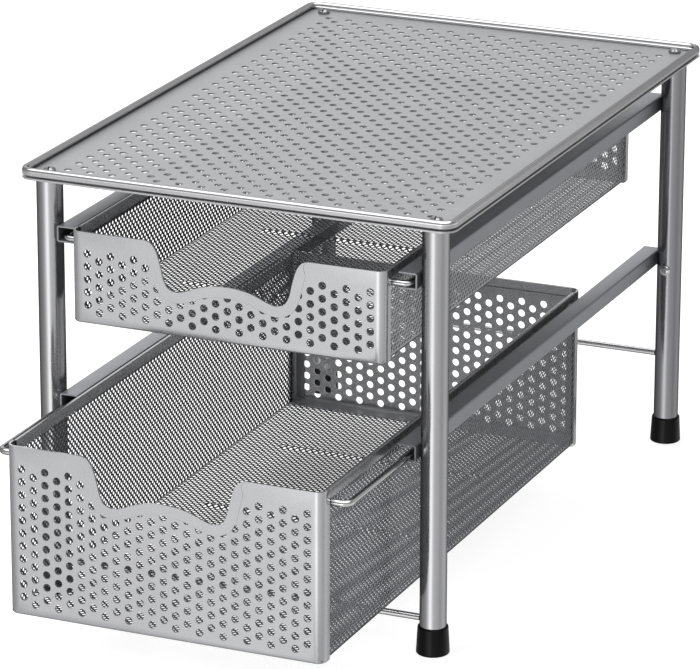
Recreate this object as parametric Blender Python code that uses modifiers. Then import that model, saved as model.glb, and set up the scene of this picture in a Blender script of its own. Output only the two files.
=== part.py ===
"""A two-tier organizer: a steel frame with a tray on top, and two mesh baskets that pull out on rails.

Metres, +Z up. The front, where the baskets pull out, faces -Y. The origin is on the floor, under the middle
of the space that the organizer fills with its baskets drawn out as they rest.
"""

from math import cos, pi, sin

import bmesh
import bpy
from mathutils import Euler, Vector

# Clearances
GAP = 0.0003
CUT_OVERRUN = 0.001
MERGE_DISTANCE = 0.00001

# Tray on top
TRAY_WIDTH = 0.276
TRAY_DEPTH = 0.426
TRAY_CORNER_RADIUS = 0.009
TRAY_HEIGHT = 0.264
PANEL_THICKNESS = 0.001
RIM_DIAMETER = 0.004
BAND_HEIGHT = 0.0014
BAND_WIDTH = 0.004

# Openings in the tray: six-sided, in rows with another row between each two
TRAY_OPENING_RADIUS = 0.006
TRAY_OPENING_MARGIN = 0.027
TRAY_OPENING_COLUMNS = 7
TRAY_OPENING_ROWS = 11

# Legs and their foot caps
LEG_DIAMETER = 0.016
LEG_WALL = 0.001
LEG_INSET_X = 0.015
LEG_INSET_Y = 0.013
CAP_HEIGHT = 0.017
CAP_TOP_DIAMETER = 0.0182
CAP_FOOT_DIAMETER = 0.020
CAP_FLOOR = 0.003
CAP_EDGE = 0.0008

# Screws through the tray and the plugs that take them
PLUG_HEIGHT = 0.010
SCREW_DIAMETER = 0.004
SCREW_LENGTH = 0.012
SCREW_HEAD_DIAMETER = 0.008
SCREW_HEAD_HEIGHT = 0.0026

# Bolts in the rear legs, a little under the lower rails' middle
BOLT_DIAMETER = 0.004
BOLT_LENGTH = 0.006
BOLT_HEAD_DIAMETER = 0.007
BOLT_HEAD_HEIGHT = 0.0018
BOLT_DROP = 0.0054

# Half the section of a screw's or bolt's head, as shares of its radius and height
HEAD_SHARES = [(0, 1), (0.45, 0.94), (0.80, 0.72), (1, 0.25), (1, 0)]

# Rails
RAIL_HEIGHT = 0.010
RAIL_DEPTH = 0.009
RAIL_WALL = 0.0009
RAIL_REAR_OVERHANG = 0.006
UPPER_RAIL_LEVEL = 0.229
LOWER_RAIL_LEVEL = 0.1247

# Cross rods
ROD_DIAMETER = 0.004
REAR_ROD_LEVEL = 0.0596
FRONT_ROD_LEVEL = 0.0207

# Baskets
BASKET_RAIL_CLEARANCE = 0.0057
BASKET_STOP_CLEARANCE = 0.0013
UPPER_BASKET_HEIGHT = 0.056
LOWER_BASKET_HEIGHT = 0.104
BASKET_RISE_OVER_RAIL = 0.0072
BASKET_CORNER_RADIUS = 0.0055
PLATE_THICKNESS = 0.001
PLATE_WRAP = 0.009
MESH_THICKNESS = 0.0006
SIDE_BAND_HEIGHT = 0.0066
SIDE_BAND_WALL = 0.0005
UPPER_PULLED_OUT = 0.0117
LOWER_PULLED_OUT = 0.0984

# Diamond openings in the baskets' sides, in columns along a side. A half opening is a share of a step.
NET_COLUMNS = 12
NET_OPENING_SHARE = 0.335

# Wavy grip in a basket's front, as shares of its half width and depth, from its middle outwards
GRIP_HALF_WIDTH = 0.052
GRIP_DEPTH = 0.0293
GRIP_SHAPE_SHARES = [
    (0.0, 0.75),
    (0.17, 0.77),
    (0.34, 0.84),
    (0.48, 0.94),
    (0.60, 1.0),
    (0.71, 0.94),
    (0.77, 0.77),
    (0.81, 0.48),
    (0.86, 0.20),
    (0.92, 0.05),
    (1.0, 0.0),
]

# Runner wires
RUNNER_DIAMETER = 0.004
RUNNER_BEND_RADIUS = 0.005
RUNNER_SETBACK = 0.012
RUNNER_WEB_CLEARANCE = 0.0016

# Facets
TUBE_SIDES = 32
WIRE_RESOLUTION = 4
BEND_STEPS = 6
CORNER_STEPS = 5
EDGE_STEPS = 2

# Places worked out from the sizes above
PANEL_UNDERSIDE = TRAY_HEIGHT - PANEL_THICKNESS
LEG_RADIUS = LEG_DIAMETER / 2
LEG_X = TRAY_WIDTH / 2 - LEG_INSET_X
LEG_Y = TRAY_DEPTH / 2 - LEG_INSET_Y
LEG_TOP = PANEL_UNDERSIDE - GAP
BOLT_LEVEL = LOWER_RAIL_LEVEL - BOLT_DROP
RAIL_OUTER_X = LEG_X - LEG_RADIUS - GAP
RUNNER_X = RAIL_OUTER_X - RAIL_WALL - RUNNER_WEB_CLEARANCE - RUNNER_DIAMETER / 2
CLOSED_FRONT_Y = -LEG_Y - LEG_RADIUS - GAP
BASKET_WIDTH = 2 * (RAIL_OUTER_X - RAIL_DEPTH - BASKET_RAIL_CLEARANCE)
BASKET_DEPTH = LEG_Y - ROD_DIAMETER / 2 - BASKET_STOP_CLEARANCE - CLOSED_FRONT_Y
REST_FRONT_Y = CLOSED_FRONT_Y - max(UPPER_PULLED_OUT, LOWER_PULLED_OUT)
FRAME_Y = -(REST_FRONT_Y + TRAY_DEPTH / 2) / 2


def clear_scene():
    for obj in list(bpy.data.objects):
        bpy.data.objects.remove(obj, do_unlink=True)


def make_collection(name):
    collection = bpy.data.collections.new(name)
    bpy.context.scene.collection.children.link(collection)
    return collection


def make_material(name, colour, metallic, roughness):
    material = bpy.data.materials.new(name)
    material.use_nodes = True
    shader = material.node_tree.nodes["Principled BSDF"]
    shader.inputs["Base Color"].default_value = (*colour, 1)
    shader.inputs["Metallic"].default_value = metallic
    shader.inputs["Roughness"].default_value = roughness
    return material


def add_object(name, data, material, parent, location=(0, 0, 0), rotation=(0, 0, 0)):
    obj = bpy.data.objects.new(name, data)
    organizer.objects.link(obj)
    obj.parent = parent
    obj.location = location
    obj.rotation_euler = rotation
    data.materials.append(material)
    return obj


def add_carrier(name, location, parent=None):
    """An empty that carries the pieces of one moving or fixed group."""
    carrier = bpy.data.objects.new(name, None)
    organizer.objects.link(carrier)
    carrier.parent = parent
    carrier.location = location
    return carrier


def mesh_from(name, bm):
    mesh = bpy.data.meshes.new(name)
    bm.to_mesh(mesh)
    bm.free()
    return mesh


def smooth(mesh):
    mesh.shade_smooth()
    mesh.set_sharp_from_angle(angle=pi / 6)


def block_mesh(name, width, depth, height, corner_radius=0):
    """A block centred on its own origin, with its upright edges rounded."""
    bm = bmesh.new()
    bmesh.ops.create_cube(bm, size=1)
    bmesh.ops.scale(bm, vec=(width, depth, height), verts=bm.verts)
    if corner_radius:
        round_upright_edges(bm, bm.edges, corner_radius)
    return mesh_from(name, bm)


def round_upright_edges(bm, edges, radius):
    upright = [edge for edge in edges if edge.verts[0].co.xy == edge.verts[1].co.xy]
    bmesh.ops.bevel(
        bm, geom=upright, offset=radius, segments=CORNER_STEPS, profile=0.5, affect="EDGES"
    )


def cylinder_mesh(name, diameter, length):
    """A solid cylinder along Z, centred on its own origin."""
    bm = bmesh.new()
    radius = diameter / 2
    bmesh.ops.create_cone(
        bm, cap_ends=True, segments=TUBE_SIDES, radius1=radius, radius2=radius, depth=length
    )
    mesh = mesh_from(name, bm)
    smooth(mesh)
    return mesh


def turned(name, profile, material, parent, location, rotation=(0, 0, 0)):
    """A piece turned about Z from (radius, height) points that run down its outer side."""
    mesh = bpy.data.meshes.new(name)
    points = [(radius, 0, height) for radius, height in profile]
    mesh.from_pydata(points, [(i, i + 1) for i in range(len(points) - 1)], [])
    obj = add_object(name, mesh, material, parent, location, rotation)
    screw = obj.modifiers.new("Turn", "SCREW")
    screw.steps = TUBE_SIDES
    screw.render_steps = TUBE_SIDES
    screw.use_merge_vertices = True
    screw.merge_threshold = MERGE_DISTANCE
    screw.use_smooth_shade = False
    return obj


def flat_outline(name, outline, thickness):
    """A flat outline in XY, filled and given a thickness along Z about its own plane."""
    curve = bpy.data.curves.new(name, "CURVE")
    curve.dimensions = "2D"
    curve.fill_mode = "BOTH"
    curve.extrude = thickness / 2
    spline = curve.splines.new("POLY")
    spline.points.add(len(outline) - 1)
    for point, (x, y) in zip(spline.points, outline):
        point.co = (x, y, 0, 1)
    spline.use_cyclic_u = True
    return curve


def wire(name, points, diameter, material, parent, closed=False):
    """A round wire through the points, with flat ends."""
    curve = bpy.data.curves.new(name, "CURVE")
    curve.dimensions = "3D"
    curve.bevel_depth = diameter / 2
    curve.bevel_resolution = WIRE_RESOLUTION
    curve.use_fill_caps = not closed
    spline = curve.splines.new("POLY")
    spline.points.add(len(points) - 1)
    for point, place in zip(spline.points, points):
        point.co = (*place, 1)
    spline.use_cyclic_u = closed
    spline.use_smooth = True
    return add_object(name, curve, material, parent)


def bend(centre, radius, start, end):
    """Points in XY round an arc, from the start angle to the end angle."""
    angles = [start + (end - start) * step / BEND_STEPS for step in range(BEND_STEPS + 1)]
    return [(centre[0] + radius * cos(angle), centre[1] + radius * sin(angle)) for angle in angles]


def rounded_rectangle(width, depth, radius):
    """Points of a rectangle with round corners, centred, anticlockwise."""
    x = width / 2 - radius
    y = depth / 2 - radius
    corners = [((x, -y), -pi / 2), ((x, y), 0), ((-x, y), pi / 2), ((-x, -y), pi)]
    return [point for centre, start in corners for point in bend(centre, radius, start, start + pi / 2)]


def mesh_of_curve(name, curve):
    """The closed mesh of a curve, with its caps joined on."""
    source = bpy.data.objects.new(name, curve)
    organizer.objects.link(source)
    bpy.context.view_layer.update()
    evaluated = source.evaluated_get(bpy.context.evaluated_depsgraph_get())
    mesh = bpy.data.meshes.new_from_object(evaluated)
    bm = bmesh.new()
    bm.from_mesh(mesh)
    bmesh.ops.remove_doubles(bm, verts=bm.verts, dist=MERGE_DISTANCE)
    bmesh.ops.recalc_face_normals(bm, faces=bm.faces)
    bm.to_mesh(mesh)
    bm.free()
    bpy.data.objects.remove(source, do_unlink=True)
    return mesh


def prism_mesh(name, sides, half_width, half_depth, length):
    """An upright prism, centred, with a corner on its Y axis."""
    bm = bmesh.new()
    bmesh.ops.create_cone(bm, cap_ends=True, segments=sides, radius1=1, radius2=1, depth=1)
    bmesh.ops.scale(bm, vec=(half_width, half_depth, length), verts=bm.verts)
    return mesh_from(name, bm)


def cut(target, name, mesh, location, rotation=(0, 0, 0)):
    """Takes the cutter's shape out of the target. The cutter's place is in the target's parent's space."""
    cutter = bpy.data.objects.new(name, mesh)
    cutters.objects.link(cutter)
    cutter.parent = target.parent
    cutter.location = location
    cutter.rotation_euler = rotation
    cutter.hide_render = True
    cutter.display_type = "WIRE"
    boolean = target.modifiers.new(name, "BOOLEAN")
    boolean.operation = "DIFFERENCE"
    boolean.solver = "EXACT"
    boolean.object = cutter
    return cutter


def cut_rows(target, name, mesh, centre, rotation, columns, rows, steps):
    """Cuts a grid of openings about a centre. Its columns and rows run along the cutter's own X and Y."""
    step_x, step_y = steps
    start = Vector((-step_x * (columns - 1) / 2, -step_y * (rows - 1) / 2, 0))
    place = Vector(centre) + Euler(rotation).to_matrix() @ start
    cutter = cut(target, name, mesh, place, rotation)
    for label, count, step in (("columns", columns, (step_x, 0, 0)), ("rows", rows, (0, step_y, 0))):
        array = cutter.modifiers.new(label, "ARRAY")
        array.count = count
        array.use_relative_offset = False
        array.use_constant_offset = True
        array.constant_offset_displace = step


def cut_staggered(target, name, mesh, centre, rotation, columns, rows, steps):
    """Cuts rows of openings, and between each two rows another, half a step along."""
    cut_rows(target, name, mesh, centre, rotation, columns, rows, steps)
    if rows > 1:
        cut_rows(target, name + "_between", mesh, centre, rotation, columns - 1, rows - 1, steps)


def leg_places():
    """The four legs: a name, and the side and end that each stands at."""
    ends = {"front": -1, "rear": 1}
    sides = {"left": -1, "right": 1}
    return [(f"{end}_{side}", sides[side], ends[end]) for end in ends for side in sides]


def build_tray(frame):
    width = TRAY_WIDTH - 2 * GAP
    depth = TRAY_DEPTH - 2 * GAP
    level = TRAY_HEIGHT - PANEL_THICKNESS / 2
    mesh = block_mesh("top_panel", width, depth, PANEL_THICKNESS, TRAY_CORNER_RADIUS - GAP)
    panel = add_object("top_panel", mesh, sheet_metal, frame, (0, 0, level))
    for name, side, end in leg_places():
        name = "panel_hole_" + name
        hole = cylinder_mesh(name, SCREW_DIAMETER + 2 * GAP, PANEL_THICKNESS + 2 * CUT_OVERRUN)
        cut(panel, name, hole, (side * LEG_X, end * LEG_Y, level))
    opening = prism_mesh(
        "panel_openings", 6, TRAY_OPENING_RADIUS, TRAY_OPENING_RADIUS, PANEL_THICKNESS + 2 * CUT_OVERRUN
    )
    steps = (
        (TRAY_WIDTH - 2 * TRAY_OPENING_MARGIN) / (TRAY_OPENING_COLUMNS - 1),
        (TRAY_DEPTH - 2 * TRAY_OPENING_MARGIN) / (TRAY_OPENING_ROWS - 1),
    )
    place = (0, 0, level)
    columns, rows = TRAY_OPENING_COLUMNS, TRAY_OPENING_ROWS
    cut_staggered(panel, "panel_openings", opening, place, (0, 0, 0), columns, rows, steps)
    centre_line = rounded_rectangle(
        TRAY_WIDTH - RIM_DIAMETER, TRAY_DEPTH - RIM_DIAMETER, TRAY_CORNER_RADIUS - RIM_DIAMETER / 2
    )
    rim_level = TRAY_HEIGHT + GAP + RIM_DIAMETER / 2
    rim_points = [(x, y, rim_level) for x, y in centre_line]
    wire("rim_wire", rim_points, RIM_DIAMETER, bright_metal, frame, closed=True)
    build_edge_band(frame)


def build_edge_band(frame):
    """The flat ring that stiffens the tray's edge from below."""
    level = PANEL_UNDERSIDE - GAP - BAND_HEIGHT / 2
    band = add_object(
        "edge_band",
        block_mesh("edge_band", TRAY_WIDTH, TRAY_DEPTH, BAND_HEIGHT, TRAY_CORNER_RADIUS),
        sheet_metal,
        frame,
        (0, 0, level),
    )
    inside = block_mesh(
        "edge_band_inside",
        TRAY_WIDTH - 2 * BAND_WIDTH,
        TRAY_DEPTH - 2 * BAND_WIDTH,
        BAND_HEIGHT + 2 * CUT_OVERRUN,
        TRAY_CORNER_RADIUS - BAND_WIDTH,
    )
    cut(band, "edge_band_inside", inside, (0, 0, level))


def build_leg(frame, name, side, end):
    """A tube from its foot cap up to the tray, with a plug in its top for the tray's screw."""
    x = side * LEG_X
    y = end * LEG_Y
    foot = CAP_FLOOR + GAP
    length = LEG_TOP - foot
    middle = (foot + LEG_TOP) / 2
    tube = cylinder_mesh("leg_" + name, LEG_DIAMETER, length)
    leg = add_object("leg_" + name, tube, tube_metal, frame, (x, y, middle))
    bore_diameter = LEG_DIAMETER - 2 * LEG_WALL
    bore = cylinder_mesh("leg_bore_" + name, bore_diameter, length + 2 * CUT_OVERRUN)
    cut(leg, "leg_bore_" + name, bore, (x, y, middle))
    if end > 0:
        depth = LEG_RADIUS + CUT_OVERRUN
        bolt_hole = cylinder_mesh("bolt_hole_" + name, BOLT_DIAMETER + 2 * GAP, depth)
        hole_y = y - depth / 2
        cut(leg, "bolt_hole_" + name, bolt_hole, (x, hole_y, BOLT_LEVEL), (pi / 2, 0, 0))
    build_leg_plug(frame, name, (x, y, LEG_TOP - PLUG_HEIGHT / 2), bore_diameter)


def build_leg_plug(frame, name, place, bore_diameter):
    """The plug in a leg's top that takes the tray's screw."""
    mesh = cylinder_mesh("leg_plug_" + name, bore_diameter - 2 * GAP, PLUG_HEIGHT)
    plug = add_object("leg_plug_" + name, mesh, screw_metal, frame, place)
    hole_name = "plug_hole_" + name
    hole = cylinder_mesh(hole_name, SCREW_DIAMETER + 2 * GAP, PLUG_HEIGHT + 2 * CUT_OVERRUN)
    cut(plug, hole_name, hole, place)


def build_foot_cap(frame, name, side, end):
    """A tapered cup that the leg stands in."""
    foot_radius = CAP_FOOT_DIAMETER / 2
    top_radius = CAP_TOP_DIAMETER / 2
    bore_radius = LEG_RADIUS + GAP
    profile = [
        (0, CAP_FLOOR),
        (bore_radius, CAP_FLOOR),
        (bore_radius, CAP_HEIGHT),
        (top_radius - CAP_EDGE / 2, CAP_HEIGHT),
        (top_radius, CAP_HEIGHT - CAP_EDGE),
        (foot_radius, CAP_EDGE),
        (foot_radius - CAP_EDGE, 0),
        (0, 0),
    ]
    turned("foot_cap_" + name, profile, black_rubber, frame, (side * LEG_X, end * LEG_Y, 0))


def headed_profile(head_diameter, head_height, shank_diameter, shank_length):
    """A low domed head on a shank that points down, with the head's underside at height zero."""
    head = [(across * head_diameter / 2, up * head_height) for across, up in HEAD_SHARES]
    shank_radius = shank_diameter / 2
    return head + [(shank_radius, 0), (shank_radius, -shank_length), (0, -shank_length)]


def build_fasteners(frame):
    screw = headed_profile(SCREW_HEAD_DIAMETER, SCREW_HEAD_HEIGHT, SCREW_DIAMETER, SCREW_LENGTH)
    bolt = headed_profile(BOLT_HEAD_DIAMETER, BOLT_HEAD_HEIGHT, BOLT_DIAMETER, BOLT_LENGTH)
    for name, side, end in leg_places():
        place = (side * LEG_X, end * LEG_Y, TRAY_HEIGHT + GAP)
        turned("tray_screw_" + name, screw, screw_metal, frame, place)
        if end > 0:
            place = (side * LEG_X, end * LEG_Y - LEG_RADIUS - GAP, BOLT_LEVEL)
            turned("leg_bolt_" + name, bolt, screw_metal, frame, place, (pi / 2, 0, 0))


def build_rail(frame, name, side, level):
    """A channel along one side, open towards the basket, held to the legs' inner sides."""
    outer = side * RAIL_OUTER_X
    inner = side * (RAIL_OUTER_X - RAIL_WALL)
    tip = side * (RAIL_OUTER_X - RAIL_DEPTH)
    top = RAIL_HEIGHT / 2
    inside = top - RAIL_WALL
    outline = [
        (tip, -top),
        (outer, -top),
        (outer, top),
        (tip, top),
        (tip, inside),
        (inner, inside),
        (inner, -inside),
        (tip, -inside),
    ]
    front = -LEG_Y - LEG_RADIUS
    rear = LEG_Y + RAIL_REAR_OVERHANG
    curve = flat_outline(name, outline, rear - front)
    add_object(name, curve, rail_metal, frame, (0, (front + rear) / 2, level), (pi / 2, 0, 0))


def build_cross_rod(frame, name, end, level):
    """A wire that ties the two front or the two rear legs together, low down."""
    reach = LEG_X - LEG_RADIUS - GAP
    points = [(-reach, end * LEG_Y, level), (reach, end * LEG_Y, level)]
    wire(name, points, ROD_DIAMETER, bright_metal, frame)


def build_frame():
    frame = add_carrier("frame", (0, FRAME_Y, 0))
    build_tray(frame)
    for name, side, end in leg_places():
        build_leg(frame, name, side, end)
        build_foot_cap(frame, name, side, end)
    build_fasteners(frame)
    for tier, level in (("upper", UPPER_RAIL_LEVEL), ("lower", LOWER_RAIL_LEVEL)):
        build_rail(frame, tier + "_rail_left", -1, level)
        build_rail(frame, tier + "_rail_right", 1, level)
    build_cross_rod(frame, "rear_cross_rod", 1, REAR_ROD_LEVEL)
    build_cross_rod(frame, "front_cross_rod", -1, FRONT_ROD_LEVEL)
    return frame


def end_plate(basket, name, height, y, turn):
    """A basket's end: a plate wrapped round onto both sides and folded in under the floor."""
    bm = bmesh.new()
    bmesh.ops.create_cube(bm, size=1)
    bmesh.ops.scale(bm, vec=(BASKET_WIDTH, PLATE_WRAP, height), verts=bm.verts)
    bmesh.ops.translate(bm, vec=(0, PLATE_WRAP / 2, height / 2), verts=bm.verts)
    front_edges = [
        edge for edge in bm.edges if all(vert.co.y < PLATE_WRAP / 2 for vert in edge.verts)
    ]
    round_upright_edges(bm, front_edges, BASKET_CORNER_RADIUS)
    open_faces = [face for face in bm.faces if face.normal.z > 0.5 or face.normal.y > 0.5]
    bmesh.ops.delete(bm, geom=open_faces, context="FACES_ONLY")
    plate = add_object(name, mesh_from(name, bm), plate_metal, basket, (0, y, 0), (0, 0, turn))
    solidify = plate.modifiers.new("Thickness", "SOLIDIFY")
    solidify.thickness = PLATE_THICKNESS
    solidify.offset = -1
    solidify.use_even_offset = True
    return plate


def grip_outline():
    """The wavy cut in a basket's front, from left shoulder to right, and back above the plate."""
    half = [(x * GRIP_HALF_WIDTH, -y * GRIP_DEPTH) for x, y in GRIP_SHAPE_SHARES]
    wave = [(-x, y) for x, y in reversed(half[1:])] + half
    left = (-GRIP_HALF_WIDTH, CUT_OVERRUN)
    right = (GRIP_HALF_WIDTH, CUT_OVERRUN)
    return smooth_line(wave) + [right, left]


def smooth_line(points):
    """The points with more between them, each on a smooth curve through its four nearest points."""
    line = []
    for i in range(len(points) - 1):
        before = Vector(points[max(i - 1, 0)])
        start = Vector(points[i])
        end = Vector(points[i + 1])
        after = Vector(points[min(i + 2, len(points) - 1)])
        for step in range(EDGE_STEPS):
            t = step / EDGE_STEPS
            place = 0.5 * (
                2 * start
                + (end - before) * t
                + (2 * before - 5 * start + 4 * end - after) * t**2
                + (3 * start - before - 3 * end + after) * t**3
            )
            line.append(tuple(place))
    return line + [points[-1]]


def build_floor(basket, tier):
    """The basket's mesh floor, inside its plates and on the strips that they fold in under it."""
    inset = PLATE_THICKNESS + GAP
    width = BASKET_WIDTH - 2 * inset
    depth = BASKET_DEPTH - 2 * inset
    name = tier + "_floor_mesh"
    mesh = block_mesh(name, width, depth, MESH_THICKNESS, BASKET_CORNER_RADIUS - inset)
    add_object(name, mesh, mesh_metal, basket, (0, BASKET_DEPTH / 2, inset + MESH_THICKNESS / 2))


def cut_net(wall, name, place, depth, height):
    """Cuts a side's diamond openings, in as many rows as suit its height."""
    step_y = depth / NET_COLUMNS
    rows = max(1, round(height / step_y))
    step_z = height / rows
    through = MESH_THICKNESS + 2 * CUT_OVERRUN
    name += "_openings"
    opening = prism_mesh(name, 4, step_y * NET_OPENING_SHARE, step_z * NET_OPENING_SHARE, through)
    turn = (pi / 2, 0, pi / 2)
    cut_staggered(wall, name, opening, place, turn, NET_COLUMNS, rows, (step_y, step_z))


def build_side(basket, tier, side_name, side, height):
    """One side of a basket: a mesh wall, and the band folded over its top edge."""
    mesh_outer = BASKET_WIDTH / 2 - PLATE_THICKNESS - GAP
    mesh_x = side * (mesh_outer - MESH_THICKNESS / 2)
    mesh_bottom = PLATE_THICKNESS + MESH_THICKNESS + 2 * GAP
    mesh_top = height - SIDE_BAND_WALL - GAP
    mesh_depth = BASKET_DEPTH - 2 * (BASKET_CORNER_RADIUS + GAP)
    name = f"{tier}_side_mesh_{side_name}"
    mesh = block_mesh(name, MESH_THICKNESS, mesh_depth, mesh_top - mesh_bottom)
    place = (mesh_x, BASKET_DEPTH / 2, (mesh_bottom + mesh_top) / 2)
    wall = add_object(name, mesh, mesh_metal, basket, place)
    cut_net(wall, name, place, mesh_depth, mesh_top - mesh_bottom)

    inside = MESH_THICKNESS / 2 + GAP
    outside = inside + SIDE_BAND_WALL
    outline = [
        (-outside, -SIDE_BAND_HEIGHT),
        (-inside, -SIDE_BAND_HEIGHT),
        (-inside, -SIDE_BAND_WALL),
        (inside, -SIDE_BAND_WALL),
        (inside, -SIDE_BAND_HEIGHT),
        (outside, -SIDE_BAND_HEIGHT),
        (outside, 0),
        (-outside, 0),
    ]
    name = f"{tier}_side_band_{side_name}"
    curve = flat_outline(name, outline, BASKET_DEPTH - 2 * (PLATE_WRAP + GAP))
    add_object(name, curve, plate_metal, basket, (mesh_x, BASKET_DEPTH / 2, height), (pi / 2, 0, 0))


def build_runner(basket, tier, side_name, side, level):
    """The wire that carries a basket's side in its rail, bent in to the basket at both ends."""
    start_x = BASKET_WIDTH / 2 - PLATE_THICKNESS
    turn_x = RUNNER_X - RUNNER_BEND_RADIUS
    front = RUNNER_SETBACK
    rear = BASKET_DEPTH - RUNNER_SETBACK
    path = [(start_x, front)]
    path += bend((turn_x, front + RUNNER_BEND_RADIUS), RUNNER_BEND_RADIUS, -pi / 2, 0)
    path += bend((turn_x, rear - RUNNER_BEND_RADIUS), RUNNER_BEND_RADIUS, 0, pi / 2)
    path += [(start_x, rear)]
    points = [(side * x, y, level) for x, y in path]
    wire(f"{tier}_runner_{side_name}", points, RUNNER_DIAMETER, bright_metal, basket)


def build_basket(frame, tier, height, rail_level, pulled_out):
    """A basket, carried by an empty in the middle of its front's foot, from which it slides along Y."""
    bottom = rail_level + BASKET_RISE_OVER_RAIL - height
    basket = add_carrier(tier + "_basket", (0, CLOSED_FRONT_Y - pulled_out, bottom), frame)
    front = end_plate(basket, tier + "_front_plate", height, 0, 0)
    name = tier + "_grip_cut"
    grip = mesh_of_curve(name, flat_outline(name, grip_outline(), 2 * PLATE_WRAP))
    cut(front, name, grip, (0, 0, height), (pi / 2, 0, 0))
    end_plate(basket, tier + "_back_plate", height, BASKET_DEPTH, pi)
    build_floor(basket, tier)
    runner_level = rail_level - RAIL_HEIGHT / 2 + RAIL_WALL + GAP + RUNNER_DIAMETER / 2 - bottom
    for side_name, side in (("left", -1), ("right", 1)):
        build_side(basket, tier, side_name, side, height)
        build_runner(basket, tier, side_name, side, runner_level)


clear_scene()
organizer = make_collection("pull_out_basket_organizer")
cutters = make_collection("cutters")
sheet_metal = make_material("sheet_metal", (0.52, 0.53, 0.54), 0.75, 0.42)
plate_metal = make_material("plate_metal", (0.55, 0.56, 0.57), 0.70, 0.42)
mesh_metal = make_material("mesh_metal", (0.46, 0.47, 0.48), 0.80, 0.38)
tube_metal = make_material("tube_metal", (0.48, 0.49, 0.50), 0.85, 0.30)
rail_metal = make_material("rail_metal", (0.40, 0.41, 0.42), 0.80, 0.40)
bright_metal = make_material("bright_metal", (0.62, 0.63, 0.64), 1.0, 0.18)
screw_metal = make_material("screw_metal", (0.66, 0.66, 0.67), 1.0, 0.22)
black_rubber = make_material("black_rubber", (0.012, 0.012, 0.013), 0.0, 0.55)
frame_carrier = build_frame()
build_basket(frame_carrier, "upper", UPPER_BASKET_HEIGHT, UPPER_RAIL_LEVEL, UPPER_PULLED_OUT)
build_basket(frame_carrier, "lower", LOWER_BASKET_HEIGHT, LOWER_RAIL_LEVEL, LOWER_PULLED_OUT)
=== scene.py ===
"""The looks of the pull-out basket organizer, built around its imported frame. Metres, +Z up, front at -Y."""

from math import atan2, cos, hypot, pi, radians, sin

import bmesh
import bpy
from mathutils import Matrix, Vector
from mathutils.geometry import delaunay_2d_cdt


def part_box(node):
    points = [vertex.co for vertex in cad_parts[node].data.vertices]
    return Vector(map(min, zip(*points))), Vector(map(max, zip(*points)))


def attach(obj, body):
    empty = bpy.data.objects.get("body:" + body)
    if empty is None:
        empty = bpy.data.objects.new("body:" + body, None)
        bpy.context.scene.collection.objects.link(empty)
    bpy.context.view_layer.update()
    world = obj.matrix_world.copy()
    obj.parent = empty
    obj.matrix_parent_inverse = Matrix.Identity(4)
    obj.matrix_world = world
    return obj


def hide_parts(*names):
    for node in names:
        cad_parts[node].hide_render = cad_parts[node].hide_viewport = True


# The gap between touching meshes, a hair's breadth where sheets would share a face, and how far an edge turns
# before it is shaded as sharp or bevelled
GAP = 0.0003
SEAM = 0.0001
SHARP_ANGLE = radians(35)
BLUNT_ANGLE = radians(50)

# Tolerances: how close to 1 a share or a direction counts as there, the least slope, and places that are one
NEARLY = 0.99
ALMOST_WHOLLY = 0.999
LEAST_SLOPE = 0.01
SAME_PLACE = 1e-8

# Camera, in the frame's metres
CAMERA_PLACE = (1.0944, -2.5163, 1.0567)
CAMERA_YAW = radians(23.442)
CAMERA_PITCH = radians(18.617)
CAMERA_ROLL = radians(0.116)
CAMERA_LENS = 242.1
CAMERA_SENSOR = 36.0

# The tray: round holes in a staggered grid with every other place filled, and its wires, lip and strip
TRAY_HOLE_RADIUS = 0.0024
TRAY_HOLE_STEP = (0.007224, 0.007331)
TRAY_HOLE_COLUMNS = 33
TRAY_HOLE_ROWS = 53
TRAY_HOLES_SHIFT = (0.00096, -0.00175)
TRAY_HOLE_SIDES = 14
TRAY_CORNER_RADIUS = 0.009
TRAY_STRIP_WIDTH = 0.004
TRAY_STRIP_CORNER = 0.005
TRAY_LIP = 0.0026
TRAY_LIP_TOP = 0.00195
TRAY_CREASE = 0.0015
TRAY_SHEET_INSET = 0.0020
TRAY_WIRE_FATTER = 0.0003
TRAY_WIRE_BEND = 0.007
TRAY_BEAD = 0.0020
TRAY_SCREW_HOLE_RADIUS = 0.0023

# Legs and their caps. A cap's bends go from the middle of its inner floor over its lip to its hollow foot.
TUBE_WALL = 0.001
TUBE_EDGE = 0.0002
CAP_LIP_RADIUS = 0.0091
CAP_FLOOR = 0.003
CAP_TREAD_WIDTH = 0.004
CAP_TREAD_SLOPE = 0.0005
CAP_HOLLOW = 0.0008
CAP_BENDS = (0, 0.0003, 0.0002, 0.0007, 0.0009, 0.0002, 0.0002, 0)

# Heads of screws and bolts. The dome's points and their bends are shares of the head's radius and height.
SCREW_HEAD_HEIGHT = 0.0026
BOLT_HEAD_HEIGHT = 0.0018
HEAD_DOME = ((0.5, 0.93), (0.93, 0.52))
HEAD_DOME_BENDS = (0.5, 0.3)
HEAD_EDGE_BENDS = (0.0003, 0.0002, 0.0002)
HEAD_SIDES = 40
SHANK_RADIUS = 0.002
SCREW_SLOT = (3.0, 0.0012)
BOLT_SLOT = (1.1, 0.0008)
SCREW_SLOT_TURNS = {"front_left": 1.75, "front_right": 1.65, "rear_left": 1.7, "rear_right": 1.9}
BOLT_SLOT_TURN = 0.7

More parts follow.
